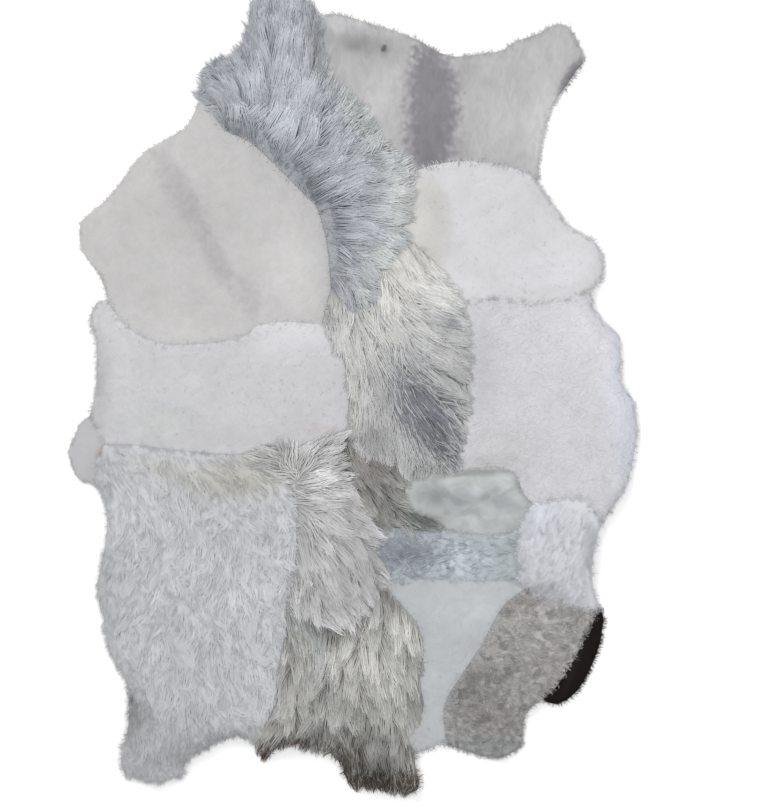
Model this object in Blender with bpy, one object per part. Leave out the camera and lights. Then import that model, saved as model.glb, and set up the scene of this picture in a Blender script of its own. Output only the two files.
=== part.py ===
# A patchwork hide rug: eighteen sheepskin panels of different fleece, sewn edge to edge.
# It lies flat on its skin side, with +Z up, +Y towards the neck and its origin under the middle of its box.

import math

import bmesh
import bpy
import numpy as np
from mathutils import Vector, geometry

# The cutting plan is drawn on squares, with x to the right and y down from its top left corner.
PLAN_SQUARE = 0.0021  # m, the side of one square
PLAN_MIDDLE = (355, 394)  # squares

SEAM_GAP = 0.0003  # m between the edges of two panels
EDGE_STEP = 0.0150  # m between the points along an edge
INNER_STEP = 0.0300  # m between the points inside a panel
INNER_MARGIN = 0.0110  # m, the least distance of such a point from the edge

SEAM_DIP = 0.72  # height of the pile at a seam, as a share of the lower neighbour's
RIM_DIP = 0.34  # height at the rim, as a share of the panel's own
PILE_ROLL = 0.0350  # m over which the pile rises to its full height
LUMP_LENGTH = 0.1150  # m, the scale of the lumps
LUMP_ALONG = 4.4  # radians of the lumps' wave for each LUMP_LENGTH along the hair
LUMP_ACROSS = 9.7  # the same across the hair
LUMP_SKEW = 1.3  # by how many radians the rows across the hair slant
LUMP_SWAY = 2.3  # by how many radians the rows along the hair wander
LUMP_SWAY_WAVE = 5  # radians of that wandering for each LUMP_LENGTH

SHARP_CORNER = 0.2  # the inset goes by the next side alone where two sides nearly double back
MITRE_LEAST = 0.3  # an inset corner moves at most 1 / this times the distance

LOCK_SETBACK = 0.60  # share of a rim lock's length by which the slab stands back from the outline
LOCK_FADE = 0.0400  # m over which the setback starts and ends
LOCK_TIP_WIDTH = 0.0030  # m
LOCK_TIP_HEIGHT = 0.0015  # m
LOCK_CHANGE = 0.25  # share by which locks differ in length
LOCK_RHYTHM = 2.6  # radians from one lock's length to the next
LOCK_OUTWARD = 0.5  # the least share of a lock that points out of the rug
LOCK_CALM = 0.3  # share of the hair's direction kept where a lock would lie along the rim

# Where three edges meet.
JOINTS = {
    "nape": (320, 17),
    "shoulder": (537, 180),
    "flank": (590, 289),
    "loin": (602, 522),
    "hip": (600, 609),
    "crescent_end": (543, 698),
    "taupe_foot": (447, 744),
    "shank_right": (415, 751),
    "shank_left": (255, 741),
    "tab_low": (96, 484),
    "tab_high": (90, 416),
    "waist_left": (108, 301),
    "mane_left": (200, 97),
    "mane_point": (331, 289),
    "strip_left": (322, 325),
    "strip_foot": (347, 428),
    "yoke_point": (411, 174),
    "strip_top": (402, 235),
    "plush_point": (462, 303),
    "arch_left": (455, 471),
    "arch_right": (532, 503),
    "saddle_right": (519, 528),
    "saddle_foot": (520, 580),
    "taupe_top": (524, 588),
    "dark_foot": (378, 526),
    "star_right": (383, 582),
    "dark_top": (406, 478),
    "star_left": (250, 452),
    "star_foot": (285, 600),
    "tab_seam": (105, 444),
    "tongue": (444, 527),
}

# Each edge runs from one joint to another through its own points.
# Rim edges belong to one panel, seams to two.
EDGES = {
    "mane_rim": ("mane_left", [(197, 83), (199, 68), (214, 56), (232, 49), (241, 32), (243, 8), (250, -4),
                               (267, -9), (287, -10), (304, -5), (314, 5)], "nape"),
    "yoke_rim": ("nape", [(330, 14), (349, 17), (373, 25), (397, 32), (421, 42), (435, 51), (456, 57),
                          (489, 53), (504, 50), (515, 42), (541, 33), (551, 26), (564, 25), (574, 36), (584, 59),
                          (577, 70), (561, 93), (551, 108), (546, 124), (541, 147), (538, 165)], "shoulder"),
    "plush_rim": ("shoulder", [(543, 191), (556, 209), (569, 227), (592, 240), (601, 253), (603, 268),
                               (600, 282)], "flank"),
    "curly_rim": ("flank", [(592, 296), (597, 309), (611, 323), (622, 334), (624, 354), (624, 379),
                            (635, 396), (640, 418), (640, 440), (632, 480), (626, 494), (613, 512)], "loin"),
    "longwool_rim": ("loin", [(599, 548), (596, 564), (597, 585)], "hip"),
    "crescent_rim": ("hip", [(605, 620), (602, 644), (592, 670), (579, 692), (564, 704), (551, 705)],
                     "crescent_end"),
    "taupe_rim": ("crescent_end", [(529, 713), (526, 726), (524, 745), (515, 754), (499, 760), (484, 759),
                                   (463, 752)], "taupe_foot"),
    "wedge_rim": ("taupe_foot", [(438, 744), (427, 750)], "shank_right"),
    "centre_rim": ("shank_right", [(419, 764), (425, 781), (418, 796), (392, 794), (357, 789), (340, 778),
                                   (335, 760), (320, 756), (297, 748), (279, 752), (269, 762), (259, 756)],
                   "shank_left"),
    "left_leg_rim": ("shank_left", [(237, 738), (223, 744), (206, 753), (189, 764), (187, 777), (168, 783),
                                    (152, 786), (135, 781), (123, 778), (117, 764), (118, 750), (124, 726),
                                    (124, 690), (114, 667), (105, 653), (102, 639), (100, 616), (95, 598),
                                    (94, 579), (100, 550), (103, 528), (102, 504)], "tab_low"),
    "tab_rim": ("tab_low", [(80, 480), (73, 468), (69, 452), (75, 436), (82, 422)], "tab_high"),
    "left_plush_rim": ("tab_high", [(96, 391), (97, 360), (96, 337), (90, 325), (93, 310), (99, 301)],
                       "waist_left"),
    "shorn_rim": ("waist_left", [(105, 288), (97, 270), (83, 252), (80, 229), (84, 219), (105, 201),
                                 (121, 183), (137, 160), (153, 147), (178, 133), (190, 122)], "mane_left"),
    "mane_shorn": ("mane_left", [(206, 104), (225, 131), (241, 138), (260, 151), (302, 193), (317, 209),
                                 (327, 245)], "mane_point"),
    "shorn_strip": ("mane_point", [(326, 306)], "strip_left"),
    "shorn_left_plush": ("waist_left", [(125, 325), (150, 340), (179, 345), (238, 339), (260, 325), (293, 322)],
                         "strip_left"),
    "left_plush_strip": ("strip_left", [(332, 343), (343, 359), (349, 391)], "strip_foot"),
    "mane_yoke": ("nape", [(323, 50), (332, 86), (356, 109), (378, 137), (399, 160)], "yoke_point"),
    "yoke_plush": ("yoke_point", [(437, 165), (470, 162), (510, 168)], "shoulder"),
    "mane_plush": ("yoke_point", [(410, 205)], "strip_top"),
    "mane_strip": ("strip_top", [(398, 246), (380, 273), (369, 299), (353, 305)], "mane_point"),
    "strip_plush": ("strip_top", [(425, 254), (445, 278)], "plush_point"),
    "plush_curly": ("plush_point", [(500, 300), (540, 305), (570, 300)], "flank"),
    "strip_curly": ("plush_point", [(465, 330), (468, 383), (463, 419)], "arch_left"),
    "arch_curly": ("arch_left", [(480, 467), (501, 467), (516, 475), (522, 491)], "arch_right"),
    "curly_longwool": ("arch_right", [(560, 497), (583, 500)], "loin"),
    "arch_longwool": ("arch_right", [(524, 514)], "saddle_right"),
    "saddle_longwool": ("saddle_right", [(515, 544), (517, 560)], "saddle_foot"),
    "wedge_longwool": ("saddle_foot", [(522, 584)], "taupe_top"),
    "longwool_taupe": ("taupe_top", [(558, 597), (576, 605)], "hip"),
    "taupe_crescent": ("hip", [(588, 630), (576, 654), (566, 671), (554, 688)], "crescent_end"),
    "wedge_taupe": ("taupe_top", [(501, 607), (482, 642), (459, 677), (446, 698), (443, 717)], "taupe_foot"),
    "saddle_arch": ("tongue", [(463, 532), (484, 534), (504, 532)], "saddle_right"),
    "saddle_wedge": ("star_right", [(410, 580), (441, 579), (474, 581)], "saddle_foot"),
    "centre_wedge": ("star_right", [(400, 602), (418, 625), (423, 655), (418, 679), (424, 702), (417, 720),
                                    (405, 731)], "shank_right"),
    "strip_dark": ("strip_foot", [(358, 452), (380, 457), (398, 468)], "dark_top"),
    "strip_arch": ("dark_top", [(425, 470), (441, 467)], "arch_left"),
    "dark_arch": ("dark_top", [(405, 500), (416, 513), (430, 518)], "tongue"),
    "dark_saddle": ("tongue", [(419, 530), (392, 527)], "dark_foot"),
    "dark_star": ("dark_foot", [(364, 509), (345, 470), (340, 449)], "strip_foot"),
    "left_plush_star": ("strip_foot", [(337, 434), (300, 447), (270, 445)], "star_left"),
    "left_plush_leg": ("star_left", [(232, 454), (180, 450), (140, 445)], "tab_seam"),
    "tab_left_plush": ("tab_high", [(99, 430)], "tab_seam"),
    "tab_leg": ("tab_seam", [(97, 460)], "tab_low"),
    "leg_star": ("star_left", [(264, 471), (285, 481), (294, 496), (297, 540), (293, 578)], "star_foot"),
    "leg_centre": ("star_foot", [(286, 628), (280, 665), (276, 702), (264, 725)], "shank_left"),
    "centre_star": ("star_foot", [(318, 620), (345, 627), (362, 611)], "star_right"),
    "star_saddle": ("star_right", [(380, 560), (372, 545)], "dark_foot"),
}

# Each panel: its edges in turn, height of the pile in m, heights of its lumps as a share of that,
# direction of the hair in degrees from +X, and its colour and roughness.
PANELS = {
    "mane": (["mane_rim", "mane_yoke", "mane_plush", "mane_strip", "mane_shorn"],
             0.046, 0.17, 70, (0.52, 0.56, 0.63), 0.80),
    "top_yoke": (["yoke_rim", "yoke_plush", "mane_yoke"],
                 0.018, 0.10, 0, (0.58, 0.55, 0.53), 0.85),
    "left_shorn": (["shorn_rim", "mane_shorn", "shorn_strip", "shorn_left_plush"],
                   0.014, 0.08, 200, (0.60, 0.60, 0.58), 0.90),
    "right_plush": (["plush_rim", "plush_curly", "strip_plush", "mane_plush", "yoke_plush"],
                    0.032, 0.10, 60, (0.68, 0.68, 0.66), 0.90),
    "cream_strip": (["mane_strip", "strip_plush", "strip_curly", "strip_arch", "strip_dark",
                     "left_plush_strip", "shorn_strip"],
                    0.042, 0.16, 280, (0.62, 0.62, 0.57), 0.80),
    "right_curly": (["curly_rim", "curly_longwool", "arch_curly", "strip_curly", "plush_curly"],
                    0.036, 0.14, 250, (0.66, 0.66, 0.71), 0.88),
    "right_longwool": (["longwool_rim", "longwool_taupe", "wedge_longwool", "saddle_longwool",
                        "arch_longwool", "curly_longwool"],
                       0.038, 0.16, 235, (0.62, 0.64, 0.70), 0.82),
    "mottled_arch": (["arch_curly", "arch_longwool", "saddle_arch", "dark_arch", "strip_arch"],
                     0.014, 0.10, 290, (0.50, 0.56, 0.52), 0.85),
    "speckled_saddle": (["saddle_arch", "saddle_longwool", "saddle_wedge", "star_saddle", "dark_saddle"],
                        0.018, 0.12, 260, (0.42, 0.46, 0.54), 0.85),
    "white_wedge": (["saddle_wedge", "wedge_longwool", "wedge_taupe", "wedge_rim", "centre_wedge"],
                    0.022, 0.10, 265, (0.55, 0.56, 0.60), 0.88),
    "taupe_curl": (["longwool_taupe", "taupe_crescent", "taupe_rim", "wedge_taupe"],
                   0.026, 0.12, 300, (0.40, 0.37, 0.35), 0.88),
    "black_crescent": (["crescent_rim", "taupe_crescent"],
                       0.022, 0.10, 320, (0.012, 0.009, 0.009), 0.85),
    "dark_tongue": (["strip_dark", "dark_arch", "dark_saddle", "dark_star"],
                    0.028, 0.14, 300, (0.22, 0.19, 0.16), 0.82),
    "starburst": (["left_plush_star", "dark_star", "star_saddle", "centre_star", "leg_star"],
                  0.044, 0.18, 310, (0.55, 0.54, 0.52), 0.80),
    "lower_left_leg": (["left_plush_leg", "leg_star", "leg_centre", "left_leg_rim", "tab_leg"],
                       0.034, 0.17, 260, (0.55, 0.56, 0.60), 0.85),
    "lower_centre_leg": (["centre_star", "centre_wedge", "centre_rim", "leg_centre"],
                         0.038, 0.16, 270, (0.40, 0.38, 0.34), 0.80),
    "left_plush": (["left_plush_rim", "shorn_left_plush", "left_plush_strip", "left_plush_star",
                    "left_plush_leg", "tab_left_plush"],
                   0.032, 0.11, 250, (0.62, 0.62, 0.63), 0.90),
    "left_tab": (["tab_rim", "tab_left_plush", "tab_leg"],
                 0.018, 0.08, 200, (0.52, 0.52, 0.54), 0.90),
}

# Length of the locks along each rim that has them, in m, and the share by which they follow the hair.
RIM_LOCKS = {
    "mane_rim": (0.026, 0.5),
    "curly_rim": (0.014, 0.1),
    "longwool_rim": (0.016, 0.3),
    "crescent_rim": (0.009, 0.2),
    "taupe_rim": (0.010, 0.2),
    "centre_rim": (0.020, 0.4),
    "left_leg_rim": (0.016, 0.2),
}


def plan_point(square):
    return Vector(((square[0] - PLAN_MIDDLE[0]) * PLAN_SQUARE, (PLAN_MIDDLE[1] - square[1]) * PLAN_SQUARE))


# A smooth line through the points, with its own points at even steps.
def smooth_line(points, step):
    ends = [2 * points[0] - points[1]] + points + [2 * points[-1] - points[-2]]
    fine = []
    for before, start, stop, after in zip(ends, ends[1:], ends[2:], ends[3:]):
        for t in np.arange(0, 1, 0.1):
            bend = (2 * before - 5 * start + 4 * stop - after) * t * t
            twist = (3 * start - before - 3 * stop + after) * t ** 3
            fine.append(start + 0.5 * ((stop - before) * t + bend + twist))
    fine.append(points[-1])
    reach = np.concatenate([[0], np.cumsum([(b - a).length for a, b in zip(fine, fine[1:])])])
    marks = np.linspace(0, reach[-1], max(2, round(reach[-1] / step) + 1))
    x = np.interp(marks, reach, [point.x for point in fine])
    y = np.interp(marks, reach, [point.y for point in fine])
    return [Vector(pair) for pair in zip(x, y)]


# The unit vector to the right of the line at each of its points.
def right_sides(points, closed):
    sides = []
    for number, point in enumerate(points):
        if closed:
            before, after = points[number - 1], points[(number + 1) % len(points)]
        else:
            before, after = points[max(number - 1, 0)], points[min(number + 1, len(points) - 1)]
        along = (after - before).normalized()
        sides.append(Vector((along.y, -along.x)))
    return sides


# The rim runs clockwise, so the rug lies to its right.
def edge_line(name):
    start, through, stop = EDGES[name]
    squares = [JOINTS[start], *through, JOINTS[stop]]
    points = smooth_line([plan_point(square) for square in squares], EDGE_STEP)
    if name not in RIM_LOCKS:
        return points
    setback = RIM_LOCKS[name][0] * LOCK_SETBACK
    last = len(points) - 1
    moved = []
    for number, (point, side) in enumerate(zip(points, right_sides(points, False))):
        fade = min(1, number * EDGE_STEP / LOCK_FADE, (last - number) * EDGE_STEP / LOCK_FADE)
        moved.append(point + side * setback * fade)
    return moved


def edge_height(name, lines_panels):
    piles = [PANELS[panel][1] for panel in lines_panels[name]]
    return min(piles) * (SEAM_DIP if len(piles) > 1 else RIM_DIP)


# The panel's outline as a closed loop: points, the edge that each starts on, and their heights.
def panel_loop(edge_names, lines, heights):
    points, names = [], []
    chain = list(lines[edge_names[0]])
    following = lines[edge_names[1]]
    if min((chain[-1] - end).length for end in (following[0], following[-1])) > SEAM_GAP:
        chain.reverse()
    for number, name in enumerate(edge_names):
        line = list(lines[name])
        if number == 0:
            line = chain
        elif (line[0] - points_end).length > (line[-1] - points_end).length:
            line.reverse()
        points += line[:-1]
        names += [name] * (len(line) - 1)
        points_end = line[-1]
    if sum(a.x * b.y - b.x * a.y for a, b in zip(points, points[1:] + points[:1])) < 0:
        points.reverse()
        names.reverse()
        names = names[1:] + names[:1]
    levels = [min(heights[names[n]], heights[names[n - 1]]) for n in range(len(names))]
    return points, names, levels


# The loop runs anticlockwise, so its inner side is to the left.
def inset_loop(points, distance):
    moved = []
    for number, point in enumerate(points):
        before = (point - points[number - 1]).normalized()
        after = (points[(number + 1) % len(points)] - point).normalized()
        inner = Vector((-before.y - after.y, before.x + after.x))
        if inner.length < SHARP_CORNER:
            inner = Vector((-after.y, after.x))
        inner.normalize()
        reach = distance / max(MITRE_LEAST, inner.dot(Vector((-after.y, after.x))))
        moved.append(point + inner * reach)
    return moved


def distance_to_loop(place, loop):
    starts = np.array(loop)
    ways = np.roll(starts, -1, axis=0) - starts
    away = np.array(place) - starts
    share = np.clip((away * ways).sum(1) / (ways * ways).sum(1), 0, 1)
    return float(np.hypot(*(away - ways * share[:, None]).T).min())


def inside_loop(place, loop):
    found = False
    for a, b in zip(loop, loop[1:] + loop[:1]):
        if (a.y > place.y) != (b.y > place.y) and place.x < a.x + (place.y - a.y) / (b.y - a.y) * (b.x - a.x):
            found = not found
    return found


# Points in staggered rows that fill the outline.
def inner_points(loop):
    left, right = min(p.x for p in loop), max(p.x for p in loop)
    low, high = min(p.y for p in loop), max(p.y for p in loop)
    row_step = INNER_STEP * math.sqrt(0.75)
    found = []
    for row in range(int((high - low) / row_step) + 1):
        y = low + (row + 0.5) * row_step
        for column in range(int((right - left) / INNER_STEP) + 2):
            place = Vector((left + (column + 0.5 * (row % 2)) * INNER_STEP, y))
            if inside_loop(place, loop) and distance_to_loop(place, loop) > INNER_MARGIN:
                found.append(place)
    return found


# Lumps are longer along the hair than across it.
def pile_height(place, loop, pile, lumps, hair):
    rise = math.sin(min(1, distance_to_loop(place, loop) / PILE_ROLL) * math.pi / 2)
    way = math.radians(hair)
    along = (place.x * math.cos(way) + place.y * math.sin(way)) / LUMP_LENGTH
    across = (place.y * math.cos(way) - place.x * math.sin(way)) / LUMP_LENGTH
    lump = math.sin(LUMP_ALONG * along + LUMP_SWAY * math.sin(LUMP_SWAY_WAVE * across))
    lump *= math.cos(LUMP_ACROSS * across + LUMP_SKEW * along)
    return pile * (SEAM_DIP + (1 - SEAM_DIP + lumps * lump) * rise)


# Tapered locks grow outwards from every second face of the rim and rest on the floor.
def add_locks(mesh, wall, loop, names, hair):
    hair_way = Vector((math.cos(math.radians(hair)), math.sin(math.radians(hair))))
    taken = False
    for number, name in enumerate(names):
        taken = name in RIM_LOCKS and names[number - 1] == name and not taken
        if not taken:
            continue
        length, follow = RIM_LOCKS[name]
        start, stop = loop[number], loop[(number + 1) % len(loop)]
        along = (stop - start).normalized()
        outward = Vector((along.y, -along.x))
        way = outward.lerp(hair_way, follow).normalized()
        if way.dot(outward) < LOCK_OUTWARD:
            way = outward.lerp(hair_way, follow * LOCK_CALM).normalized()
        length *= 1 + LOCK_CHANGE * math.sin(LOCK_RHYTHM * number)
        tip = (start + stop) / 2 + way * length
        made = bmesh.ops.extrude_discrete_faces(mesh, faces=[wall[number]])["faces"][0]
        middle = (start + stop) / 2
        for corner in made.verts:
            side = 1 if (corner.co.xy - middle).dot(along) > 0 else -1
            corner.co.xy = tip + along * side * LOCK_TIP_WIDTH / 2
            corner.co.z = min(corner.co.z, LOCK_TIP_HEIGHT)


# A slab of pile with an uneven top, upright edges and a flat skin side at z = 0.
def panel_mesh(name, loop, names, levels):
    _, pile, lumps, hair, _, _ = PANELS[name]
    outline = inset_loop(loop, SEAM_GAP / 2)
    inner = inner_points(outline)
    count = len(outline)
    corners, _, faces, origins, _, _ = geometry.delaunay_2d_cdt(
        outline + inner, [], [list(range(count))], 1, 1e-6)
    mesh = bmesh.new()
    order = [source[0] for source in origins]
    top = {}
    for corner, source in zip(corners, order):
        height = levels[source] if source < count else pile_height(corner, outline, pile, lumps, hair)
        top[source] = mesh.verts.new((corner.x, corner.y, height))
    for face in faces:
        mesh.faces.new([top[order[number]] for number in face])
    bottom = [mesh.verts.new((point.x, point.y, 0)) for point in outline]
    mesh.faces.new(bottom[::-1])
    wall = []
    for number in range(count):
        following = (number + 1) % count
        wall.append(mesh.faces.new((bottom[number], bottom[following], top[following], top[number])))
    add_locks(mesh, wall, outline, names, hair)
    bmesh.ops.recalc_face_normals(mesh, faces=mesh.faces)
    return mesh


def fleece_material(name, colour, roughness):
    material = bpy.data.materials.new(name + "_fleece")
    material.use_nodes = True
    shader = material.node_tree.nodes["Principled BSDF"]
    shader.inputs["Base Color"].default_value = (*colour, 1)
    shader.inputs["Roughness"].default_value = roughness
    shader.inputs["Metallic"].default_value = 0
    return material


def place_panel(name, mesh):
    points = np.array([corner.co for corner in mesh.verts])
    low, high = points.min(0), points.max(0)
    middle = Vector(((low[0] + high[0]) / 2, (low[1] + high[1]) / 2, 0))
    bmesh.ops.translate(mesh, verts=mesh.verts, vec=-middle)
    data = bpy.data.meshes.new(name)
    mesh.to_mesh(data)
    mesh.free()
    data.materials.append(fleece_material(name, *PANELS[name][4:]))
    panel = bpy.data.objects.new(name, data)
    panel.location = middle
    bpy.context.scene.collection.objects.link(panel)
    return panel


# Sets the origin under the middle of the whole rug's box.
def centre_rug(panels):
    corners = np.array([panel.location + vertex.co for panel in panels for vertex in panel.data.vertices])
    middle = (corners.min(0) + corners.max(0)) / 2
    for panel in panels:
        panel.location.x -= middle[0]
        panel.location.y -= middle[1]


for old in list(bpy.data.objects):
    bpy.data.objects.remove(old, do_unlink=True)

edge_panels = {edge: [name for name in PANELS if edge in PANELS[name][0]] for edge in EDGES}
edge_lines = {edge: edge_line(edge) for edge in EDGES}
edge_heights = {edge: edge_height(edge, edge_panels) for edge in EDGES}

rug = []
for panel_name, row in PANELS.items():
    rug.append(place_panel(panel_name, panel_mesh(panel_name, *panel_loop(row[0], edge_lines, edge_heights))))
centre_rug(rug)
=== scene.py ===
import math

import bpy
import numpy as np
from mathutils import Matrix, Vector, geometry
from mathutils.bvhtree import BVHTree


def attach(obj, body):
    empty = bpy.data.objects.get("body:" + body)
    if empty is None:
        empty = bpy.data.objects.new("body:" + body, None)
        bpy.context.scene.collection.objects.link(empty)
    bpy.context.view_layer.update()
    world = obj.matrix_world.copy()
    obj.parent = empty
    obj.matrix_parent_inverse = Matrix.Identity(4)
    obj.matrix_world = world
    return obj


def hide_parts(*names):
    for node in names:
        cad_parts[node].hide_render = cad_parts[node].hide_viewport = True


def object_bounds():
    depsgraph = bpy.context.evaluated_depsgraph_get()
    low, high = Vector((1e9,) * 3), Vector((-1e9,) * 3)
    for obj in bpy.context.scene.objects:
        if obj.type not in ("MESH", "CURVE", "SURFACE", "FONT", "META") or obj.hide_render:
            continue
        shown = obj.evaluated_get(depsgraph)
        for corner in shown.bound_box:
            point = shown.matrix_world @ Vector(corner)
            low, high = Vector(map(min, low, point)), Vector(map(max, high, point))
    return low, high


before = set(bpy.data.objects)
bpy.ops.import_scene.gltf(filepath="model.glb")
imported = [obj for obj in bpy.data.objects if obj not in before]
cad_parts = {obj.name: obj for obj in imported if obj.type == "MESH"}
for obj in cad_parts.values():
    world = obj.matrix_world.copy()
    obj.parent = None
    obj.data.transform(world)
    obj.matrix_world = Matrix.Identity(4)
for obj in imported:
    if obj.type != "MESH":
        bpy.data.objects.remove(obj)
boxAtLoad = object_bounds()
print("stage 1: frame loaded,", len(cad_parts), "panels")

# The rug's plan is drawn on squares of 2.1 mm, x to the right and y down; the middle square is the row frame's origin.
planSquare = 0.0021  # m
planMiddle = (356.0, 392.2)  # squares
photoSize = (772, 808)  # pixels, one for each square
topOfHair = boxAtLoad[1].z + 0.009  # m, no hair rises above this

cameraChoices = {"height": 5.0, "aim": (386, 404), "sensor": 36.0}
floorChoices = {"side": 9.0, "drop": 0.0006, "colour": "F7F7F7"}
skinChoices = {"thickness": 0.0018, "bevel": 0.0005, "colour": "D8C7AE", "nap": "BFA88A"}
baseChoices = {"grid": 0.008, "over": 0.0004, "reach": 0.00013}
surfaceChoices = {"grid": 0.004, "blur": 2, "bridge": 9, "fill": 0.82}
edgeChoices = {"step": 0.0013, "width": 0.0010, "stray": 28, "follow": 0.35}

# Hair by kind: strands for each square metre, points along one, length and width in m, angles in degrees.
# gather is the share by which a strand joins its lock, lock the size of a lock, stray how far it strays from the flow,
# bend how much it turns along its length, wave its sideways waves, lift how far it stands above the pile, over how far
# it may pass its panel's edge, contrast how much strands differ in tone, relief how much light picks one out, baseTint
# and rootTint how pale the wool beneath and the roots are, lump and crimp the unevenness of the wool beneath,
# edge the length of the loose hair along seams and rim, mix how far strands of two colours mingle, share and sink how
# high the wool beneath fills the pile, as a part of its height less so many m, lockTone how much locks differ, round
# how round a strand is, 0 for flat, and curl, twist, curlDepth and hollow the curls too small for strands, the last
# as painted shade in their hollows.
woolChoices = {"roughness": 0.78, "gloss": 0.25, "sheen": 0.15, "grain": (1.0, 1.0, 1.0)}
hairKinds = {
    "long": {"dense": 58000, "points": 4, "length": (0.060, 0.120), "width": 0.0018, "gather": 0.74,
             "lock": 0.019, "stray": 8, "bend": 18, "wave": 0.0018, "waveLength": 0.050, "lift": 0.0045,
             "over": 0.022, "contrast": 0.17, "relief": 0.26, "baseTint": 0.25, "rootTint": 0.0, "lump": 0.0014,
             "crimp": 0.0006, "edge": 0.020, "mix": 0.35, "share": 0.91, "sink": 0.0008, "lockTone": 0.30,
             "round": 0.42, "curl": 60, "twist": 0.5, "curlDepth": 0.0, "hollow": 0.0, "edgeLift": 0.0022},
    "wavy": {"dense": 40000, "points": 4, "length": (0.028, 0.056), "width": 0.0017, "gather": 0.66,
             "lock": 0.017, "stray": 16, "bend": 46, "wave": 0.0026, "waveLength": 0.030, "lift": 0.0018,
             "over": 0.014, "contrast": 0.07, "relief": 0.22, "baseTint": 0.90, "rootTint": 0.84, "lump": 0.0008,
             "crimp": 0.0004, "edge": 0.018, "mix": 0.20, "share": 0.962, "sink": 0.0004, "lockTone": 0.20,
             "round": 0.30, "curl": 42, "twist": 1.8, "curlDepth": 0.0030, "hollow": 0.05, "edgeLift": 0.0006},
    "curly": {"dense": 30000, "points": 4, "length": (0.014, 0.024), "width": 0.0017, "gather": 0.35,
              "lock": 0.012, "stray": 60, "bend": 190, "wave": 0.0, "waveLength": 1.0, "lift": 0.0020,
              "over": 0.012, "contrast": 0.08, "relief": 0.18, "baseTint": 0.90, "rootTint": 0.80, "lump": 0.0009,
              "crimp": 0.0007, "edge": 0.016, "mix": 0.20, "share": 0.945, "sink": 0.0006, "lockTone": 0.22,
              "round": 0.30, "curl": 90, "twist": 2.2, "curlDepth": 0.0020, "hollow": 0.06, "edgeLift": 0.0006},
    "plush": {"dense": 34000, "points": 2, "length": (0.008, 0.015), "width": 0.0019, "gather": 0.35,
              "lock": 0.014, "stray": 30, "bend": 0, "wave": 0.0, "waveLength": 1.0, "lift": 0.0006,
              "over": 0.010, "contrast": 0.02, "relief": 0.20, "baseTint": 0.97, "rootTint": 0.95, "lump": 0.0004,
              "crimp": 0.0007, "edge": 0.018, "mix": 0.12, "share": 0.985, "sink": 0.0002, "lockTone": 0.22,
              "round": 0.15, "curl": 45, "twist": 0.8, "curlDepth": 0.0012, "hollow": 0.02, "edgeLift": 0.0004},
    "shorn": {"dense": 32000, "points": 2, "length": (0.005, 0.009), "width": 0.0016, "gather": 0.25,
              "lock": 0.010, "stray": 30, "bend": 0, "wave": 0.0, "waveLength": 1.0, "lift": 0.0003,
              "over": 0.005, "contrast": 0.015, "relief": 0.20, "baseTint": 0.98, "rootTint": 0.97, "lump": 0.0001,
              "crimp": 0.0006, "edge": 0.012, "mix": 0.10, "share": 0.985, "sink": 0.0002, "lockTone": 0.20,
              "round": 0.15, "curl": 60, "twist": 0.8, "curlDepth": 0.0010, "hollow": 0.02, "edgeLift": 0.0004},
}

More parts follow.
